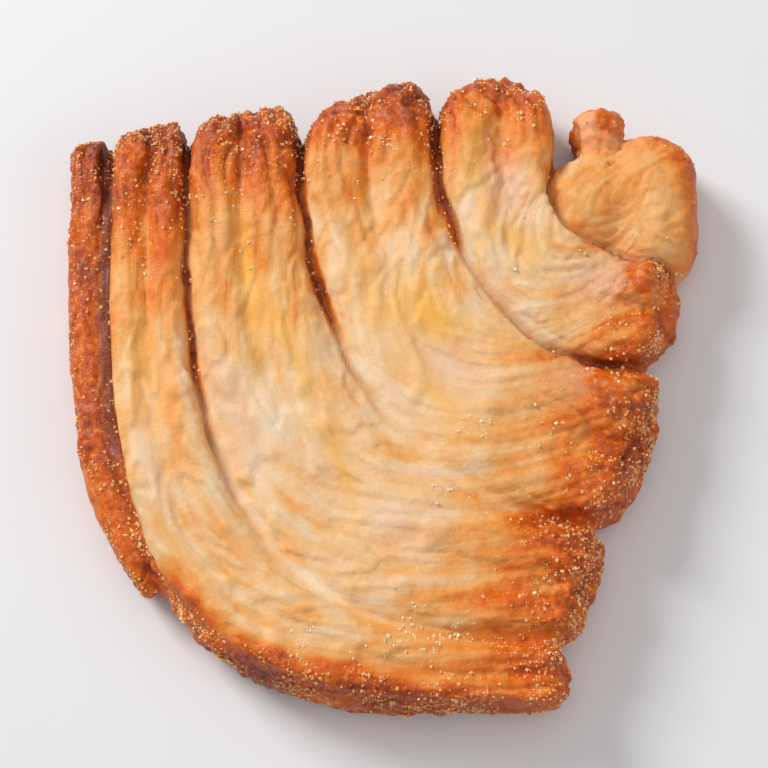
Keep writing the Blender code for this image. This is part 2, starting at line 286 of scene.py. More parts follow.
def strand_rings(strand):
    """The rings and the two poles of the closed body swept along a strand."""
    centre, across, half_width, length = path(strand.ends)
    back = strand.reaches[0]
    end = length * SKIN_END if strand.kind == "skin" else length + strand.reaches[1]
    last = round(min(end / length, 1) * (CURVE_SAMPLES - 1))
    back_tips = np.maximum(np.multiply(strand.tips[0], half_width[0]), LEAST_TIP_LENGTH)
    right_tips = np.maximum(np.multiply(strand.tips[1], half_width[last]), LEAST_TIP_LENGTH)
    if strand.kind == "web":
        back, end = -WEB_INSETS[0] * length, (1 - WEB_INSETS[1]) * length
        back_tips, right_tips = ((share * length, share * length) for share in WEB_TIP_LENGTHS)
    distance = station_distances(back, max(back_tips), end, max(right_tips))
    share = np.clip(distance / length, 0, 1)
    across, half_width = sampled(across, share), sampled(half_width, share)
    along = np.stack([across[:, 1], -across[:, 0]], axis=1)
    sway, swell = (unevenness(1000 * (strand.seed + 1) + k)(share) for k in range(2))
    sway *= SWAY * np.sin(math.pi * share)
    past_edge = distance - share * length
    point = sampled(centre, share) + along * past_edge[:, None] + across * sway[:, None]

    half_width = half_width * (1 + WIDTH_UNEVENNESS * swell)
    lean = strand.leans[1] * smooth_step((share - 1 + LEAN_SHARE) / LEAN_SHARE)
    lean -= strand.leans[0] * smooth_step((LEAN_SHARE - share) / LEAN_SHARE)
    towards = across + lean[:, None] * along
    scales = [
        tip_scale((distance + back) / back_tip) * tip_scale((end - distance) / right_tip)
        for back_tip, right_tip in zip(back_tips, right_tips)
    ]
    press = CORE_PRESS * np.exp(-(((share - PRESS_SHARE) / PRESS_SPREAD) ** 2))
    presses = (0.0, press if math.isclose(min(strand.ends[1]), 1.0) else 0.0)
    swollen = [side_width(half_width, side_swell, share) for side_swell in strand.swells]
    widths = [np.maximum(width - by, PRESSED_WIDTH * width) for width, by in zip(swollen, presses)]
    sides = [towards * (width * scale)[:, None] for width, scale in zip(widths, scales)]
    # The limbs of a fold rise and fall together
    crest = strand.crest + HEIGHT_UNEVENNESS * unevenness(strand.seed // 10)(share)
    if strand.kind == "fold":
        closing = smooth_step((share - SEAM_OPEN_SHARE) / SEAM_CLOSING_SHARE)
        closing *= smooth_step((1 - share) / LEAN_SHARE)
        crest += SEAM_DEPTH * SEAM_CLOSING * closing
    squareness = FOLD_SQUARENESS if strand.kind in ("fold", "web") else LIMB_SQUARENESS
    return body_rings(point, sides, crest, WIDEST_HEIGHT, sum(scales) / 2, squareness)


def finger_axis(finger):
    """A finger's start, its direction, the direction across it and its length."""
    start, end = np.array(finger.start), np.array(finger.end)
    length = np.linalg.norm(end - start)
    along = (end - start) / length
    return start, along, np.array([-along[1], along[0]]), length


def finger_rings(finger):
    """The rings and the two poles of a straight rounded finger of dough."""
    start, along, across, length = finger_axis(finger)
    tip = finger.half_width * TIP_LENGTH
    distance = station_distances(0.0, tip, length, tip)
    scale = tip_scale(distance / tip) * tip_scale((length - distance) / tip)
    side = across * finger.half_width * scale[:, None]
    point = start + along * distance[:, None]
    crest = np.full(len(distance), finger.height)
    widest = min(WIDEST_HEIGHT, finger.height / 2)
    return body_rings(point, (side, side), crest, widest, scale, LIMB_SQUARENESS)


def body_rings(point, sides, crest, widest, scale, squareness):
    """Superellipse rings at each point, with their underside flat on the tray, and the two poles.

    Sides are the outer and the inner half width there, as vectors, and scale shrinks the height.
    """
    angle = math.tau * np.arange(SECTION_POINTS) / SECTION_POINTS
    power = 2 / squareness
    lateral = (np.sign(np.cos(angle)) * np.abs(np.cos(angle)) ** power)[None, :, None]
    upward = np.sign(np.sin(angle)) * np.abs(np.sin(angle)) ** power
    place = point[:, None] + lateral * np.where(lateral > 0, sides[1][:, None], sides[0][:, None])
    tall = np.where(upward > 0, crest[:, None] - widest, widest + UNDERSIDE_DEPTH)
    height = np.maximum(widest + tall * upward * scale[:, None], 0.0)
    rings = np.concatenate([place, height[..., None]], axis=2)
    return rings[1:-1], [(*point[k], widest) for k in (0, -1)]


def add_tube(vertices, faces, rings, poles):
    """Adds a closed tube through rings of points, with a fan of faces round a pole at each end."""
    base = len(vertices)
    count, points = rings.shape[:2]
    vertices.extend(rings.reshape(-1, 3).tolist())
    vertices.extend(poles)
    pole = base + count * points
    top = pole - points
    for j in range(points):
        after = (j + 1) % points
        for k in range(base, top, points):
            faces.append((k + j, k + after, k + points + after, k + points + j))
        faces.append((base + after, base + j, pole))
        faces.append((top + j, top + after, pole + 1))


def evaluated(obj):
    """The object's mesh with its modifiers applied."""
    graph = bpy.context.evaluated_depsgraph_get()
    return bpy.data.meshes.new_from_object(obj.evaluated_get(graph))


def add_object(name, mesh):
    obj = bpy.data.objects.new(name, mesh)
    bpy.context.scene.collection.objects.link(obj)
    return obj


def read_vectors(items, field):
    """A vector of each item of a mesh, as rows."""
    values = np.empty(len(items) * 3, np.float32)
    items.foreach_get(field, values)
    return values.reshape(-1, 3).astype(float)


def write_points(mesh, points):
    mesh.vertices.foreach_set("co", points.astype(np.float32).ravel())
    mesh.update()


def softened(mesh, values, share, rounds):
    """The vertices' values, drawn in each round towards the neighbours' average by the vertex's share."""
    edges = np.empty(len(mesh.edges) * 2, np.int32)
    mesh.edges.foreach_get("vertices", edges)
    first, second = edges.reshape(-1, 2).T
    count = len(values)
    neighbours = np.maximum(np.bincount(edges, minlength=count), 1)
    columns = np.array(values, float).reshape(count, -1).T
    for _ in range(rounds):
        for k, column in enumerate(columns):
            total = np.bincount(first, column[second], count) + np.bincount(second, column[first], count)
            columns[k] = column + (total / neighbours - column) * share
    return columns.T.reshape(np.shape(values))


def closest(points, candidates):
    """The number of the candidate that is closest to each point."""
    tree = kdtree.KDTree(len(candidates))
    for number, candidate in enumerate(candidates):
        tree.insert(candidate, number)
    tree.balance()
    return np.array([tree.find(point)[1] for point in points])


def joined_pastry():
    """The bodies joined into one fine mesh, with fewer faces underneath, and each vertex's core finger."""
    vertices, faces, owners = [], [], []
    tubes = [strand_rings(strand) for strand in strands()] + [finger_rings(finger) for finger in CORE]
    for number, (rings, poles) in enumerate(tubes):
        add_tube(vertices, faces, rings, poles)
        owners.extend([number - len(tubes) + len(CORE)] * (len(vertices) - len(owners)))
    mesh = bpy.data.meshes.new("bodies")
    mesh.from_pydata(vertices, [], faces)
    obj = add_object("bodies", mesh)
    remesh = obj.modifiers.new("remesh", "REMESH")
    remesh.mode = "VOXEL"
    remesh.voxel_size = GRAIN
    obj.data = evaluated(obj)
    obj.modifiers.clear()

    low = np.flatnonzero(read_vectors(obj.data.vertices, "co")[:, 2] < UNDERSIDE_HEIGHT)
    group = obj.vertex_groups.new(name="underside")
    group.add(low.tolist(), 1.0, "REPLACE")
    share_below = len(low) / len(obj.data.vertices)
    thin = obj.modifiers.new("thin", "DECIMATE")
    thin.ratio = 1 - share_below * (1 - UNDERSIDE_SHARE)
    thin.vertex_group = group.name
    fine = evaluated(obj)
    bpy.data.objects.remove(obj)

    return fine, np.array(owners)[closest(read_vectors(fine.vertices, "co"), vertices)]


# Where a point lies in the fan, in metres: across from its fold's middle line (signed), from that line and
# round the tips, to the back and to the right tip, and along the path. Share is of the path, limbs counts
# limb widths from the outside, and flow runs on from fold to fold: from the fan's outer side, and along. Calm
# is 0 on the line between the core and the folds, where their reliefs don't match, and 1 away from it.
Place = namedtuple("Place", "fold across nested back right along share limbs limb_width flow calm")


def fan_map():
    """Steps across the fan, and for each a line of points along the folds, their distances and its length."""
    shares = edge_shares()
    steps = np.linspace(0, len(shares) - 1, MAP_LINES)
    margin = np.linspace(MAP_MARGIN, 0, MAP_MARGIN_POINTS, endpoint=False)
    lines, distances, lengths = [], [], []
    for step in steps:
        line = bend_curve(*(np.interp(step, range(len(shares)), values) for values in zip(*shares)))
        moves = np.diff(line, axis=0)
        travelled = np.concatenate([[0.0], np.cumsum(np.linalg.norm(moves, axis=1))])
        first, last = moves[0] / np.linalg.norm(moves[0]), moves[-1] / np.linalg.norm(moves[-1])
        before = line[0] - first * margin[:, None]
        after = line[-1] + last * margin[::-1, None]
        lines.append(np.concatenate([before, line, after]))
        distances.append(np.concatenate([-margin, travelled, travelled[-1] + margin[::-1]]))
        lengths.append(np.full(len(lines[-1]), travelled[-1]))
    return steps, np.array(lines), np.array(distances), np.array(lengths)


def located(points, owners, calm):
    """The Place of every point. Owners are the numbers of the core fingers, and negative off the core."""
    steps, lines, distances, lengths = fan_map()
    corners = np.pad(lines.reshape(-1, 2), ((0, 0), (0, 1)))
    row, column = np.divmod(closest(points * (1, 1, 0), corners), lines.shape[1])
    by_row, by_column = (np.gradient(lines, axis=k)[row, column] for k in (0, 1))
    off = points[:, :2] - lines[row, column]
    area = by_row[:, 0] * by_column[:, 1] - by_row[:, 1] * by_column[:, 0]
    rows = (off[:, 0] * by_column[:, 1] - off[:, 1] * by_column[:, 0]) / area
    more = (by_row[:, 0] * off[:, 1] - by_row[:, 1] * off[:, 0]) / area
    step = steps[1]
    limbs = steps[row] + np.clip(rows, -MOST_CELLS, MOST_CELLS) * step
    limb_width = np.abs(area) / np.linalg.norm(by_column, axis=1) / step
    widths = np.linalg.norm(np.diff(lines, axis=0, prepend=lines[:1]), axis=2).cumsum(axis=0)
    more = np.clip(more, -MOST_CELLS, MOST_CELLS)
    along = distances[row, column] + more * np.gradient(distances, axis=1)[row, column]
    length = lengths[row, column]
    from_side = widths[row, column] + rows * np.gradient(widths, axis=0)[row, column]
    flow = np.stack([from_side, along], axis=1)

    fold = np.clip((np.floor(limbs).astype(int) + 1) // 2, 0, len(FOLDS) - 1)
    middle = np.where(fold == 0, 0.5, 2.0 * fold)
    half = np.where(fold == 0, 0.5, 1.0) * limb_width
    across = (limbs - middle) * limb_width
    back_reach = np.array([np.mean(f.back_reaches) for f in FOLDS])[fold]
    right_reach = np.array([np.mean(f.right_reaches) for f in FOLDS])[fold]
    back = along + back_reach
    right = np.where(fold == 0, SKIN_END * length, length + right_reach) - along
    share = along / length

    for number, finger in enumerate(CORE):
        mine = owners == number
        start, forward, sideways, finger_length = finger_axis(finger)
        run = (points[mine, :2] - start) @ forward
        fold[mine] = len(FOLDS) + number
        across[mine] = (points[mine, :2] - start) @ sideways
        half[mine] = finger.half_width
        along[mine] = run
        ahead = finger_length - run
        to_right = forward[0] > abs(forward[1])
        back[mine] = run + finger_length if to_right else ahead
        right[mine] = ahead if to_right else run + finger_length
        share[mine] = 0.5
    past = np.maximum(half * TIP_LENGTH - np.minimum(back, right), 0)
    nested = np.hypot(across, past)
    return Place(fold, across, nested, back, right, along, share, limbs, limb_width, flow, calm)


def lattice_noise(points, seed):
    """Smooth seeded noise, about -1 to 1. One unit of the points is one cell of it."""
    rng = np.random.default_rng(seed)
    order = np.concatenate([rng.permutation(256)] * 2)
    slopes = rng.normal(size=(256, 3))
    slopes /= np.linalg.norm(slopes, axis=1)[:, None]
    cell = np.floor(points).astype(int)
    part = points - cell
    ease = part ** 3 * (part * (part * 6 - 15) + 10)
    total = np.zeros(len(points))
    for corner in itertools.product((0, 1), repeat=3):
        x, y, z = ((cell + corner) & 255).T
        slope_there = slopes[order[order[order[x] + y] + z]]
        weight = np.prod(np.where(corner, ease, 1 - ease), axis=1)
        total += weight * (slope_there * (part - corner)).sum(axis=1)
    return total * 1.6


def octaves(points, seed, count=3):
    return sum(lattice_noise(points * 2 ** k, seed + k) / 2 ** k for k in range(count)) / 1.5


def fold_noise(place, across_size, along_size, seed):
    """Noise that is stretched along the folds and turns round their tips."""
    cells = (place.nested / across_size, place.along / along_size, 7.3 * place.fold)
    return lattice_noise(np.stack(cells, axis=1), seed)


def bump(distance, width):
    return np.exp(-((distance / width) ** 2))


# The creases between folds: the limb that each starts at, and the share of the path at which it has faded out
CREASES = ((1, 0.56), (3, 0.62), (5, 0.70), (7, 1.2), (9, 1.2))
CREASE_FADE = 0.26
CREASE_DEPTH = 0.0008
CREASE_HALF_WIDTH = 0.00040
# A crease's gap, this wide, is only painted shade
GAP_HALF_WIDTH = 0.0012
SEAM_SLIT_DEPTH = 0.0006
SEAM_SLIT_HALF_WIDTH = 0.0003
SEAM_SLIT_LENGTH = 0.008

# The crease round the core, as a share of a crease between folds
JOINT_CREASE = 0.75

# Laminations: the thickness of a leaf of dough, the height of its edge, how much of that there is away from
# the tips, and the length over which the tips are rough
LEAF = 0.00150
LEAF_HEIGHT = 0.00034
LEAF_CALM = 0.20
TIP_ROUGHNESS_LENGTH = 0.009
# Near the tips the leaves fan apart in ridges of this width and height, with splits between them
RIDGE = 0.0024
RIDGE_HEIGHT = 0.00050
# How much of that each fold has, and then each finger of the core
TIP_RIDGES = np.array((1.0, 1.0, 1.0, 1.0, 0.6, 0.0, 0.0, 0.0, 0.0))
# Thin sheets of dough that lie over each other: across and along the folds, how many steps, and their height,
# and the height of the nub's lumps
SHEET_SIZE = (0.0042, 0.0105)
SHEET_STEPS = 2.4
SHEET_HEIGHT = 0.00026
NUB_LUMPS = 0.0012
# The crust's unevenness: the size of a cell, its height all over, what the tips add to that, and the seed
SWELL = (0.0070, 0.00030, 0.00025, 41)
RAGGED = (0.0021, 0.00008, 0.00025, 42)
GRAINY = (0.0009, 0.00002, 0.00013, 43)
# The heights of its blisters and waves, of the bubbles on the tips, and of the layers on the sides
BLISTER_HEIGHT = 0.00026
WAVE_HEIGHT = 0.00022
BUBBLE_HEIGHT = 0.00034
LAYER_HEIGHT = 0.00025
# How far pits and creases go into the flat underside
PIT_DEPTH = 0.00012
LOWER_CREASE_DEPTH = 0.00022

# Slants the plan in a noise, so that the noise doesn't line up with the axes
SPREAD = np.array(((0.8, 0.6, 0.3), (-0.6, 0.8, 0.4)))


def near_crease(place, distance, fade):
    """From 1 within this distance of a crease between folds to 0 beyond the fade."""
    nearest = np.abs(place.limbs - 2 * np.floor(place.limbs / 2) - 1) * place.limb_width
    return 1 - smooth_step((nearest - distance) / fade)


def crease_lines(place, points):
    """How far into a crease each point is, from 0 to 1: the line itself, and the gap it opens into (painted
    shade).
    """
    line, gap = np.zeros(len(points)), np.zeros(len(points))
    wander = 0.06 * lattice_noise(np.column_stack([place.flow[:, 1] / 0.006, place.flow * 0]), 5)
    for limb, end in CREASES:
        off = np.abs(place.limbs - limb + wander) * place.limb_width
        fade = 1 - smooth_step((place.share - end + CREASE_FADE) / CREASE_FADE)
        line = np.maximum(line, bump(off, CREASE_HALF_WIDTH) * fade)
        gap = np.maximum(gap, bump(off, GAP_HALF_WIDTH) * fade)
    gap *= smooth_step((CREST_HEIGHT - 0.0009 - points[:, 2]) / 0.0016)
    line, gap = (np.where(place.fold < len(FOLDS), part, 0.0) for part in (line, gap))
    joint = JOINT_CREASE * (1 - place.calm) ** 4
    return np.maximum(line, joint), gap


def uneven(points, lively, cell, height, at_tips, seed):
    """One layer of the crust's unevenness, which is higher at the lively tips."""
    return (height + at_tips * lively) * octaves(points / cell, seed, 2)


def surface_of(place, points, normals):
    """The relief of the crust at every point, in metres along the normal, and its parts from 0 to 1."""
    up = smooth_step((normals[:, 2] - 0.15) / 0.5)
    down = smooth_step((-normals[:, 2] - 0.4) / 0.4)
    side = np.clip(1 - up - down, 0, 1)
    back, right = np.maximum(place.back, 0), np.maximum(place.right, 0)
    lively = np.exp(-np.minimum(back, right) / TIP_ROUGHNESS_LENGTH)
    on_fold = (place.fold > 0) & (place.fold < len(FOLDS))
    core = place.fold >= len(FOLDS)

    crease, gap = crease_lines(place, points)
    nearby = near_crease(place, 0.0003, 0.0006)
    open_side = up * (1 - nearby) * place.calm
    seam_off = np.abs(place.limbs - 2 * np.round(place.limbs / 2)) * place.limb_width
    slit = np.where(on_fold, bump(seam_off, SEAM_SLIT_HALF_WIDTH) * np.exp(-back / SEAM_SLIT_LENGTH), 0)
    torn = fold_noise(place, 0.0017, 0.011, 21)
    patchy = smooth_step(0.4 + 1.4 * fold_noise(place, 0.004, 0.012, 22))
    slit = np.maximum(slit, np.where(core, 0, bump(torn, 0.08) * patchy * lively))

    fan = np.maximum(np.exp(-((back / 0.014) ** 1.5)), 0.6 * np.exp(-((right / 0.008) ** 1.5)))
    fan *= TIP_RIDGES[place.fold]
    ridge_phase = place.across / RIDGE + 0.8 * fold_noise(place, 0.004, 0.009, 33)
    ridge_phase += 0.4 * place.fold
    ridge = 0.5 + 0.5 * np.cos(math.tau * ridge_phase)
    split = (1 - ridge) ** 4 * fan * smooth_step(0.5 + 1.5 * fold_noise(place, 0.003, 0.007, 35))
    slit = np.maximum(slit, split) * (1 - nearby) * place.calm

    drift = 0.55 * fold_noise(place, 0.003, 0.008, 31)
    phase = place.nested / LEAF + drift + 0.37 * place.fold
    number = np.floor(phase)
    step = phase - number
    leaf = smooth_step(step / 0.75) * (1 - smooth_step((step - 0.75) / 0.25))
    lift = lattice_noise(np.column_stack([3.71 * number + 0.5, place.along / 0.007, 7.3 * place.fold]), 34)
    strength = LEAF_CALM + (1 - LEAF_CALM) * lively
    strength = strength * smooth_step(0.5 + 1.1 * fold_noise(place, 0.005, 0.010, 32))
    strength = np.where(core, 0.25 * strength, strength)
    lively = np.where(core, 0.35 * lively, lively)

    bubbles = 2.2 * np.abs(lattice_noise(points / 0.0016, 47)) - 0.5
    blister = smooth_step((lattice_noise(points[:, :2] @ SPREAD / 0.0036, 44) - 0.34) / 0.3) * (1 - lively)
    wave = fold_noise(place, 0.0032, 0.0120, 36)

    height = uneven(points, lively, *SWELL)
    height += open_side * LEAF_HEIGHT * strength * (leaf - 0.5 + 0.9 * lift)
    height += open_side * RIDGE_HEIGHT * fan * (ridge - 0.5)
    height -= up * CREASE_DEPTH * crease
    height -= up * SEAM_SLIT_DEPTH * slit
    height += open_side * (BLISTER_HEIGHT * blister + WAVE_HEIGHT * wave)
    nub = place.fold >= len(FOLDS) + 2
    height += np.where(nub, NUB_LUMPS, 0.0) * octaves(points / 0.0022, 48, 3) * place.calm
    sheet = SHEET_STEPS * octaves(np.column_stack([place.flow / SHEET_SIZE, 0 * wave]), 51, 2)
    sheet -= np.floor(sheet)
    sheet = smooth_step(sheet / 0.85) * (1 - smooth_step((sheet - 0.85) / 0.15))
    height += open_side * SHEET_HEIGHT * (sheet - 0.5)
    height += uneven(points, lively, *RAGGED)
    height += BUBBLE_HEIGHT * lively * bubbles
    height += uneven(points, lively, *GRAINY)
    height += side * LAYER_HEIGHT * octaves(points / (0.0030, 0.0030, 0.0012), 45, 2)
    # The tray holds the underside flat: there the relief only goes inwards
    inwards = -PIT_DEPTH * smooth_step(0.5 + octaves(points / 0.003, 46, 2))
    inwards -= LOWER_CREASE_DEPTH * crease
    height = height * (1 - down) + inwards * down
    # The creases with their gaps, and the slits, are also the marks of painted shade
    return height, np.maximum(crease, gap), slit


# How brown each fold and then each finger is at its back tip, over what length, the same at its right tip,
# and between them
BAKES = (
    (0.73, 0.0350, 0.61, 0.012, 0.61),
    (0.79, 0.0200, 0.62, 0.013, 0.21),
    (0.79, 0.0180, 0.67, 0.016, 0.14),
    (0.78, 0.0140, 0.67, 0.016, 0.12),
    (0.74, 0.0135, 0.65, 0.014, 0.06),
    (0.40, 0.0030, 0.40, 0.004, 0.32),
    (0.46, 0.0040, 0.46, 0.004, 0.34),
    (0.48, 0.0030, 0.48, 0.004, 0.44),
    (0.50, 0.0030, 0.50, 0.004, 0.44),
)

# How brown it is down in the gaps between folds, which is painted shade, on the rim along the fan's outer
# side, and on the sides
HOLLOW_SHADE_BROWN = 0.60
RIM_BROWN = 0.60
RIM_WIDTH = 0.0034
SIDE_BROWN = 0.56

# Patches of colour and of sugar, in the plan of the design: x and y of the middle, length, width, turn in
# degrees, and amount
BROWN_PATCHES = (
    (0.0285, -0.0080, 0.0040, 0.0026, 60, 0.06),
    (0.0200, -0.0170, 0.0070, 0.0050, 60, 0.10),
    (-0.0080, -0.0345, 0.0100, 0.0040, -8, 0.15),
    (0.0080, -0.0350, 0.0110, 0.0036, 0, 0.15),
    (0.0385, 0.0190, 0.0110, 0.0036, 90, 0.30),
    (0.0335, 0.0300, 0.0045, 0.0024, 0, 0.16),
)
GOLD_PATCHES = (
    (0.0025, 0.0060, 0.0070, 0.0036, -50, 0.8),
    (0.0167, 0.0145, 0.0042, 0.0022, -50, 0.9),
    (0.0070, 0.0055, 0.0045, 0.0024, -60, 0.9),
    (-0.0100, 0.0030, 0.0070, 0.0014, -62, 0.8),
    (-0.0148, 0.0095, 0.0095, 0.0012, -84, 0.9),
    (-0.0045, -0.0110, 0.0080, 0.0014, -66, 0.8),
    (-0.0270, 0.0015, 0.0050, 0.0013, -82, 0.6),
    (0.0115, 0.0235, 0.0050, 0.0010, -88, 0.8),
    (0.0070, -0.0035, 0.0065, 0.0022, -50, 0.7),
)
PINK_PATCHES = (
    (0.0150, 0.0215, 0.0042, 0.0026, -70, 0.9),
    (0.0262, 0.0108, 0.0050, 0.0030, 15, 0.8),
    (0.0080, 0.0006, 0.0055, 0.0026, -35, 0.8),
    (-0.0160, -0.0055, 0.0070, 0.0022, -68, 0.8),
    (0.0020, -0.0180, 0.0048, 0.0025, -30, 0.7),
    (0.0240, -0.0010, 0.0045, 0.0028, 0, 0.5),
    (0.0263, 0.0302, 0.0040, 0.0030, 0, 0.60),
)
SUGAR_PATCHES = (
    (0.0051, -0.0309, 0.0040, 0.0028, 10, 1.0),
    (-0.0064, -0.0324, 0.0040, 0.0020, -20, 1.0),
    (0.0072, -0.0143, 0.0022, 0.0014, 30, 1.0),
    (0.0104, -0.0074, 0.0020, 0.0014, 30, 0.9),
    (0.0004, 0.0279, 0.0030, 0.0022, 0, 0.8),
    (-0.0111, 0.0311, 0.0040, 0.0022, 0, 0.8),
)


def patches(rows, points):
    """How much of these patches each point has."""
    total = np.zeros(len(points))
    for middle_x, middle_y, length, width, degrees, amount in rows:
        turn = math.radians(degrees)
        x, y = points[:, 0] - middle_x, points[:, 1] - middle_y
        run = (x * math.cos(turn) + y * math.sin(turn)) / length
        off = (y * math.cos(turn) - x * math.sin(turn)) / width
        total += amount * np.exp(-(run ** 2 + off ** 2))
    return total


def baked(place, points, normals, hollow):
    """How brown every point is, from 0, the palest cream, to 1, nearly burnt, with painted shade in the gaps.
    """
    back, back_length, right, right_length, base = (np.array(row)[place.fold] for row in zip(*BAKES))
    wander = octaves(points / 0.004, 61, 3) * 0.0035
    at_back = np.exp(-(np.maximum(place.back + wander, 0) / back_length) ** 1.5)
    at_right = np.exp(-(np.maximum(place.right + wander, 0) / right_length) ** 1.8)
    brown = np.maximum(base + (back - base) * at_back, base + (right - base) * at_right)
    # The outer side of the fan is browned as a rim
    rim = np.where(place.fold < 2, np.maximum(place.limbs - 1, 0) * place.limb_width, 1.0)
    past_lip = smooth_step((place.share - SKIN_END + 0.06) / 0.08)
    brown = np.maximum(brown, RIM_BROWN * np.exp(-((rim + wander * 0.5) / RIM_WIDTH) ** 2) * past_lip)
    brown += patches(BROWN_PATCHES, points)
    # Painted shade: down in the gaps between folds it is browned
    brown = np.maximum(brown, HOLLOW_SHADE_BROWN * hollow)
    stretched = np.column_stack([place.flow / (0.0022, 0.012), points[:, 2] * 0])
    brown += 0.10 * lattice_noise(stretched, 62) + 0.03 * lattice_noise(stretched * 2.3, 63)
    side = 1 - smooth_step((normals[:, 2] + 0.1) / 0.55)
    brown = np.maximum(brown, side * (SIDE_BROWN + 0.12 * octaves(points / 0.006, 64, 2)))
    return np.clip(brown, 0, 1)


def put_attribute(mesh, name, values):
    kind = "FLOAT" if values.ndim == 1 else "FLOAT_VECTOR"
    field = "value" if values.ndim == 1 else "vector"
    mesh.attributes.new(name, kind, "POINT").data.foreach_set(field, values.astype(np.float32).ravel())


def make_pastry():
    """The palmier with its crust's relief, in the row frame, and what the sugar needs to know of it."""
    mesh, owners = joined_pastry()
    points = read_vectors(mesh.vertices, "co")
    core = softened(mesh, (owners >= 0).astype(float), 1.0, CORE_FADE_ROUNDS)
    place = located(points, owners, (2 * core - 1) ** 2)
    raised = smooth_step((points[:, 2] - UNDERSIDE_HEIGHT) / 0.001)
    low = smooth_step((CREST_HEIGHT - 0.0010 - points[:, 2]) / 0.0010)
    # Down in the gaps between folds, which are smoothed more and browned as painted shade
    hollow = near_crease(place, 0.0007, 0.0006) * low * (owners < 0)
    share = EVERYWHERE_SHARE + GAP_SHARE * hollow + JOINT_SHARE * (1 - place.calm)
    on_core = smooth_step((points[:, 2] - WIDEST_HEIGHT) / 0.002) * (owners >= 0)
    share = np.maximum(share, np.where(owners >= 2, NUB_SHARE, CORE_SHARE) * on_core)
    points = softened(mesh, points, np.minimum(share, MOST_SHARE) * raised, SMOOTHING_ROUNDS)
    write_points(mesh, points)
    normals = read_vectors(mesh.vertex_normals, "vector")
    height, crease, slit = surface_of(place, points, normals)
    brown = baked(place, points, normals, hollow)
    lit = smooth_step(normals[:, 2] / 0.5)
    flow = np.column_stack([place.flow, points[:, 2]])
    put_attribute(mesh, "brown", brown)
    # The crease attribute marks painted shade for the crust's colour: the creases, the gaps below them and
    # the slits
    put_attribute(mesh, "crease", np.clip(crease + 0.8 * slit, 0, 1))
    put_attribute(mesh, "gold", patches(GOLD_PATCHES, points) * lit)
    put_attribute(mesh, "pink", patches(PINK_PATCHES, points) * lit)
    put_attribute(mesh, "flow", flow)

    middle = (points.min(axis=0) + points.max(axis=0)) / 2
    shown = points + normals * height[:, None]
    shown[:, 2] = np.maximum(shown[:, 2], 0.0)
    low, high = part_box("palmier")
    shown[:, 0] += (low.x + high.x) / 2 - middle[0]
    shown[:, 1] += (low.y + high.y) / 2 - middle[1]
    write_points(mesh, shown)
    mesh.shade_smooth()
    palmier = add_object("baked_palmier", mesh)
    return palmier, shown, read_vectors(mesh.vertex_normals, "vector"), place, brown, points


# Sugar: the number of grains, their sizes, the share of that which sinks in, and how far in from the tips
# and from the rim most of it lies
SUGAR_GRAINS = 4800
SUGAR_SIZES = (0.00015, 0.00042)
SUGAR_SINK = 0.5
SUGAR_TIP_LENGTH = 0.005
SUGAR_RIM_WIDTH = 0.0035
CUBE = np.array(list(itertools.product((-1, 1), repeat=3)), float)
CUBE_FACES = np.array(((0, 1, 3, 2), (4, 6, 7, 5), (0, 4, 5, 1), (2, 3, 7, 6), (0, 2, 6, 4), (1, 5, 7, 3)))


def make_sugar(points, normals, place, brown, plan):
    """Coarse sugar, as rough little blocks half sunk in the crust, thickest at the tips and along the rim."""
    rng = np.random.default_rng(7)
    tip = np.maximum(np.minimum(place.back, place.right), 0)
    rim = np.where(place.fold < 2, np.maximum(place.limbs, 0) * place.limb_width, 1.0)
    crust = smooth_step((brown - 0.28) / 0.3)
    past_skin = 0.25 + 0.75 * smooth_step((place.share - SKIN_END) / 0.1)
    wanted = np.exp(-tip / SUGAR_TIP_LENGTH) + 0.6 * past_skin * np.exp(-rim / SUGAR_RIM_WIDTH)
    wanted += 0.25 * brown ** 2
    wanted = np.where(place.fold < len(FOLDS), 1.0, 0.15) * (0.0003 + crust * wanted)
    wanted += 0.5 * patches(SUGAR_PATCHES, plan)
    wanted *= smooth_step((normals[:, 2] + 0.1) / 0.5) * (points[:, 2] > 0.001)
    wanted *= smooth_step(0.55 + 1.2 * lattice_noise(points / 0.004, 81))
    chosen = rng.choice(len(points), SUGAR_GRAINS, replace=False, p=wanted / wanted.sum())
    size = SUGAR_SIZES[0] + (SUGAR_SIZES[1] - SUGAR_SIZES[0]) * rng.random(SUGAR_GRAINS) ** 2.2
    turns = np.linalg.qr(rng.normal(size=(SUGAR_GRAINS, 3, 3)))[0]
    blocks = CUBE * rng.uniform(0.6, 1.0, (SUGAR_GRAINS, 1, 3))
    blocks += rng.uniform(-0.28, 0.28, (SUGAR_GRAINS, 8, 3))
    blocks = blocks @ turns * (size / 2)[:, None, None]
    centres = points[chosen] + normals[chosen] * (size * (0.5 - SUGAR_SINK))[:, None]
    vertices = (centres[:, None] + blocks).reshape(-1, 3)
    faces = (np.arange(SUGAR_GRAINS)[:, None, None] * 8 + CUBE_FACES).reshape(-1, 4)
    # A mirrored block has its faces turned round
    mirrored = np.repeat(np.linalg.det(turns) < 0, len(CUBE_FACES))
    faces[mirrored] = faces[mirrored][:, ::-1]
    mesh = bpy.data.meshes.new("sugar")
    mesh.from_pydata(vertices.tolist(), [], faces.tolist())
    mesh.update()
    put_attribute(mesh, "brown", np.repeat(brown[chosen], 8))
    return add_object("sugar_grains", mesh)


def linear(red, green, blue):
    """A colour given as 0 to 255 on a screen, as a shader's linear one."""
    shares = [channel / 255 for channel in (red, green, blue)]
    return (*(c / 12.92 if c < 0.04 else ((c + 0.055) / 1.055) ** 2.4 for c in shares), 1.0)


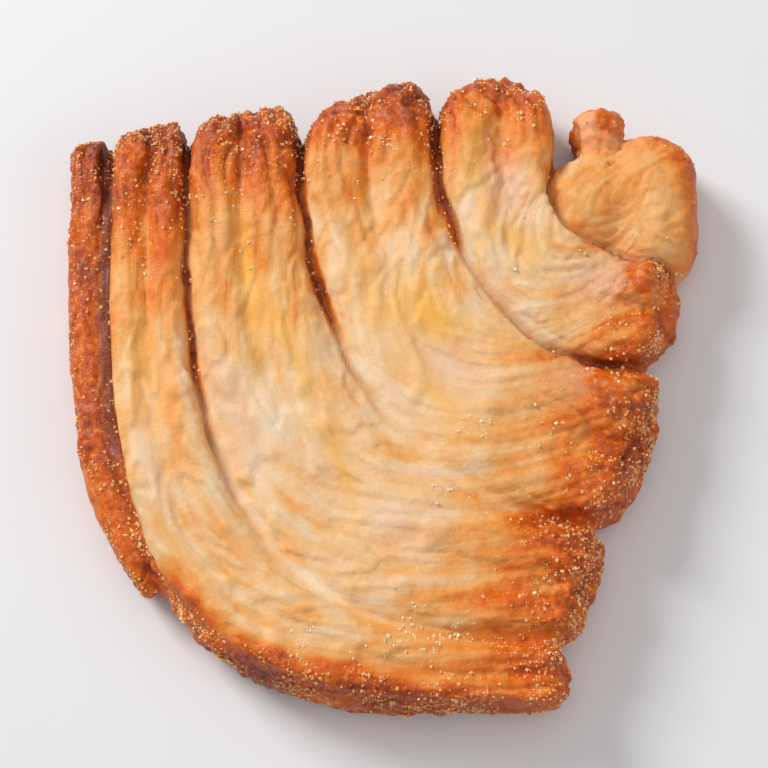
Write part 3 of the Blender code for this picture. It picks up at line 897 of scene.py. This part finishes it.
# The bake from pale to burnt: its place from 0 to 1 and its colour
BAKE_COLOURS = (
    (0.00, linear(246, 220, 184)),
    (0.14, linear(245, 205, 157)),
    (0.30, linear(242, 178, 106)),
    (0.46, linear(238, 147, 62)),
    (0.60, linear(228, 106, 8)),
    (0.74, linear(190, 80, 24)),
    (0.88, linear(142, 56, 22)),
    (1.00, linear(94, 36, 22)),
)
GOLD = linear(246, 181, 76)
PINK = linear(236, 196, 176)
# Painted shade in the creases, gaps and slits: its colour where the bake is brown, and where it is pale
CREASE_SHADE_BROWN = linear(116, 46, 16)
PALE_CREASE_SHADE_BROWN = linear(172, 94, 38)
FLOOR_COLOUR = linear(238, 238, 240)


class Nodes:
    """Adds nodes to a material and links them."""

    def __init__(self, name):
        self.material = bpy.data.materials.new(name)
        self.material.use_nodes = True
        self.tree = self.material.node_tree
        self.shader = self.tree.nodes["Principled BSDF"]

    def add(self, kind, inputs=None, **settings):
        node = self.tree.nodes.new(kind)
        for key, value in settings.items():
            setattr(node, key, value)
        for key, value in (inputs or {}).items():
            self.put(node, key, value)
        return node

    def put(self, node, key, value):
        if isinstance(value, bpy.types.NodeSocket):
            self.tree.links.new(value, node.inputs[key])
        else:
            node.inputs[key].default_value = value

    def set(self, **inputs):
        for key, value in inputs.items():
            self.put(self.shader, key.replace("_", " "), value)

    def read(self, name, output="Fac"):
        return self.add("ShaderNodeAttribute", attribute_name=name).outputs[output]

    def maths(self, operation, *values, clamp=False):
        inputs = dict(enumerate(values))
        return self.add("ShaderNodeMath", inputs, operation=operation, use_clamp=clamp).outputs[0]

    def stretched(self, vector, *scales):
        return self.add("ShaderNodeVectorMath", {0: vector, 1: scales}, operation="MULTIPLY").outputs[0]

    def noise(self, vector, scale=1.0, detail=3.0, roughness=0.55):
        inputs = {"Vector": vector, "Scale": scale, "Detail": detail, "Roughness": roughness}
        return self.add("ShaderNodeTexNoise", inputs).outputs["Fac"]

    def span(self, value, low, high, to_low=0.0, to_high=1.0):
        inputs = {"Value": value, "From Min": low, "From Max": high, "To Min": to_low, "To Max": to_high}
        return self.add("ShaderNodeMapRange", inputs, clamp=True).outputs["Result"]

    def blend(self, share, first, second):
        node = self.add("ShaderNodeMix", data_type="RGBA")
        for key, value in ((0, share), (6, first), (7, second)):
            self.put(node, key, value)
        return node.outputs[2]

    def ramp(self, share, stops):
        node = self.add("ShaderNodeValToRGB", {"Fac": share})
        elements = node.color_ramp.elements
        while len(elements) < len(stops):
            elements.new(1.0)
        for element, (position, colour) in zip(elements, stops):
            element.position = position
            element.color = colour
        return node.outputs["Color"]

    def bumps(self, *layers):
        """Layers of bump: each a height, a strength and a distance in metres."""
        normal = None
        for height, strength, distance in layers:
            node = self.add("ShaderNodeBump", {"Height": height, "Strength": strength, "Distance": distance})
            if normal is not None:
                self.put(node, "Normal", normal)
            normal = node.outputs["Normal"]
        self.set(Normal=normal)


def pastry_material():
    nodes = Nodes("baked_pastry")
    place = nodes.add("ShaderNodeTexCoord").outputs["Object"]
    flow = nodes.read("flow", "Vector")
    brown = nodes.read("brown")
    crease = nodes.read("crease")
    fibres = nodes.noise(nodes.stretched(flow, 2200.0, 300.0, 900.0), detail=4.0)
    streaks = nodes.noise(nodes.stretched(flow, 420.0, 70.0, 400.0))
    blotches = nodes.noise(nodes.stretched(flow, 300.0, 130.0, 300.0), detail=4.0)
    speckle = nodes.noise(place, 1500.0, 3.0, 0.6)
    grit = nodes.noise(place, 4200.0, 2.0, 0.6)
    mottle = nodes.noise(place, 260.0, 4.0, 0.6)
    crackle = nodes.noise(place, 950.0, 6.0, 0.7)

    # The bake is mottled, streaked along the folds, and gritty where it is brown
    mixed = ((mottle, -0.09, 0.09), (streaks, -0.05, 0.07), (blotches, -0.07, 0.07), (fibres, -0.02, 0.02))
    level = brown
    for noise, low, high in mixed:
        level = nodes.maths("ADD", level, nodes.span(noise, 0.3, 0.7, low, high))
    gritty = nodes.span(brown, 0.48, 0.72, 0.12, 1.0)
    spots = nodes.maths("MULTIPLY", nodes.span(speckle, 0.52, 0.72, 0.0, 0.18), gritty)
    pale_spots = nodes.maths("MULTIPLY", nodes.span(speckle, 0.46, 0.28, 0.0, 0.30), gritty)
    level = nodes.maths("SUBTRACT", nodes.maths("ADD", level, spots), pale_spots, clamp=True)
    colour = nodes.ramp(level, BAKE_COLOURS)

    pale = nodes.span(level, 0.36, 0.16)
    golden = nodes.maths("MULTIPLY", nodes.span(streaks, 0.54, 0.70, 0.0, 0.45), pale)
    golden = nodes.maths("MAXIMUM", golden, nodes.maths("MULTIPLY", nodes.read("gold"), 0.85))
    colour = nodes.blend(golden, colour, GOLD)
    pinkish = nodes.maths("MULTIPLY", nodes.span(blotches, 0.46, 0.30, 0.0, 0.32), pale)
    pink_patches = nodes.maths("MULTIPLY", nodes.read("pink"), nodes.span(level, 0.60, 0.46, 0.0, 0.60))
    pinkish = nodes.maths("MAXIMUM", pinkish, pink_patches)
    colour = nodes.blend(pinkish, colour, PINK)
    # Painted shade: the creases, the gaps below them and the slits are darkened towards a deep brown, more
    # where the bake is browner
    crease_shade = nodes.maths("MULTIPLY", crease, nodes.span(brown, 0.1, 0.6, 0.50, 0.95), clamp=True)
    crease_shade_colour = nodes.blend(nodes.span(brown, 0.15, 0.55), PALE_CREASE_SHADE_BROWN, CREASE_SHADE_BROWN)
    colour = nodes.blend(crease_shade, colour, crease_shade_colour)

    wet = nodes.span(grit, 0.35, 0.65, -0.08, 0.08)
    rough = nodes.maths("ADD", nodes.span(level, 0.15, 0.8, 0.56, 0.42), wet)
    nodes.set(Base_Color=colour, Roughness=rough, Metallic=0.0, IOR=1.40)
    nodes.set(Subsurface_Weight=0.12, Subsurface_Radius=(0.0018, 0.0009, 0.0004), Subsurface_Scale=1.0)
    nodes.set(Coat_Weight=nodes.span(level, 0.35, 0.75, 0.0, 0.10), Coat_Roughness=0.24)
    nodes.bumps(
        (fibres, 0.25, 0.00030),
        (crackle, 0.55, 0.00025),
        (streaks, 0.25, 0.00050),
        (speckle, nodes.span(brown, 0.2, 0.7, 0.25, 0.8), 0.00028),
        (grit, nodes.span(brown, 0.2, 0.7, 0.15, 0.5), 0.00010),
    )
    return nodes.material


def sugar_material():
    nodes = Nodes("sugar")
    place = nodes.add("ShaderNodeTexCoord").outputs["Object"]
    brown = nodes.read("brown")
    cloud = nodes.noise(place, 1800.0, 2.0)
    level = nodes.maths("ADD", brown, nodes.span(cloud, 0.3, 0.7, -0.25, 0.15), clamp=True)
    stops = (
        (0.0, linear(255, 244, 222)),
        (0.3, linear(253, 224, 172)),
        (0.6, linear(247, 184, 112)),
        (1.0, linear(206, 112, 58)),
    )
    nodes.set(Base_Color=nodes.ramp(level, stops), IOR=1.55)
    nodes.set(Roughness=nodes.span(cloud, 0.3, 0.7, 0.10, 0.30), Metallic=0.0)
    nodes.set(Subsurface_Weight=0.1, Subsurface_Radius=(0.0006, 0.0005, 0.0004), Subsurface_Scale=1.0)
    nodes.bumps((cloud, 0.3, 0.00008))
    return nodes.material


def floor_material():
    nodes = Nodes("pale_floor")
    place = nodes.add("ShaderNodeTexCoord").outputs["Object"]
    cloud = nodes.noise(place, 30.0, 3.0)
    colour = nodes.blend(nodes.span(cloud, 0.3, 0.7, 0.0, 0.06), FLOOR_COLOUR, linear(220, 220, 224))
    nodes.set(Base_Color=colour, Roughness=nodes.span(cloud, 0.3, 0.7, 0.5, 0.6))
    nodes.bumps((nodes.noise(place, 900.0, 2.0), 0.05, 0.0002))
    return nodes.material


# The stage: the flat floor's half width and drop, three soft lights aimed at the pastry, and the camera
FLOOR_HALF = 1.2
FLOOR_DROP = 0.00002
Light = namedtuple("Light", "name place size energy")
LIGHTS = (
    Light("key", (-0.50, 0.42, 0.50), 0.30, 5.0),
    Light("fill", (0.60, -0.30, 0.50), 0.60, 1.05),
    Light("top", (0.0, 0.05, 0.90), 0.60, 1.45),
)
WORLD_COLOUR = (1.0, 0.99, 0.97, 1.0)
WORLD_STRENGTH = 0.285
CAMERA_ELEVATION = 76.0
CAMERA_LENS = 100.0
CAMERA_DISTANCE = 0.248
CAMERA_AIM = (0.0, 0.0, 0.005)


def make_stage():
    corners = [(x * FLOOR_HALF, y * FLOOR_HALF, 0.0) for x, y in ((-1, -1), (1, -1), (1, 1), (-1, 1))]
    mesh = bpy.data.meshes.new("floor")
    mesh.from_pydata(corners, [], [(0, 1, 2, 3)])
    floor = add_object("floor", mesh)
    floor.location.z = -FLOOR_DROP
    floor.data.materials.append(floor_material())
    for light in LIGHTS:
        data = bpy.data.lights.new(light.name, "AREA")
        data.size = light.size
        data.energy = light.energy
        lamp = add_object(light.name, data)
        lamp.location = light.place
        lamp.rotation_euler = (-Vector(light.place)).to_track_quat("-Z", "Y").to_euler()
    world = bpy.data.worlds.new("studio")
    world.use_nodes = True
    background = world.node_tree.nodes["Background"]
    background.inputs["Color"].default_value = WORLD_COLOUR
    background.inputs["Strength"].default_value = WORLD_STRENGTH
    bpy.context.scene.world = world
    bpy.context.scene.view_settings.view_transform = "Standard"


def make_camera():
    data = bpy.data.cameras.new("camera")
    data.lens = CAMERA_LENS
    camera = add_object("camera", data)
    tilt = math.radians(CAMERA_ELEVATION)
    back = Vector((0.0, -math.cos(tilt), math.sin(tilt)))
    camera.location = Vector(CAMERA_AIM) + back * CAMERA_DISTANCE
    camera.rotation_euler = (-back).to_track_quat("-Z", "Y").to_euler()
    bpy.context.scene.camera = camera


def dress(obj, material):
    obj.data.materials.append(material)
    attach(obj, "root")


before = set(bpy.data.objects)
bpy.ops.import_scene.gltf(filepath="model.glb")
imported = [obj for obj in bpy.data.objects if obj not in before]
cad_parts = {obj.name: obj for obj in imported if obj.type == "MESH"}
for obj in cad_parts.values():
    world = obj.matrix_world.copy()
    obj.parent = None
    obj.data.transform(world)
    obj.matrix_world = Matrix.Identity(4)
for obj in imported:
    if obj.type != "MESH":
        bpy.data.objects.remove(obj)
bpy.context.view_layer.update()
pastry, *crust = make_pastry()
dress(pastry, pastry_material())
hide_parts("palmier")
sugar = make_sugar(*crust)
dress(sugar, sugar_material())
make_stage()
make_camera()
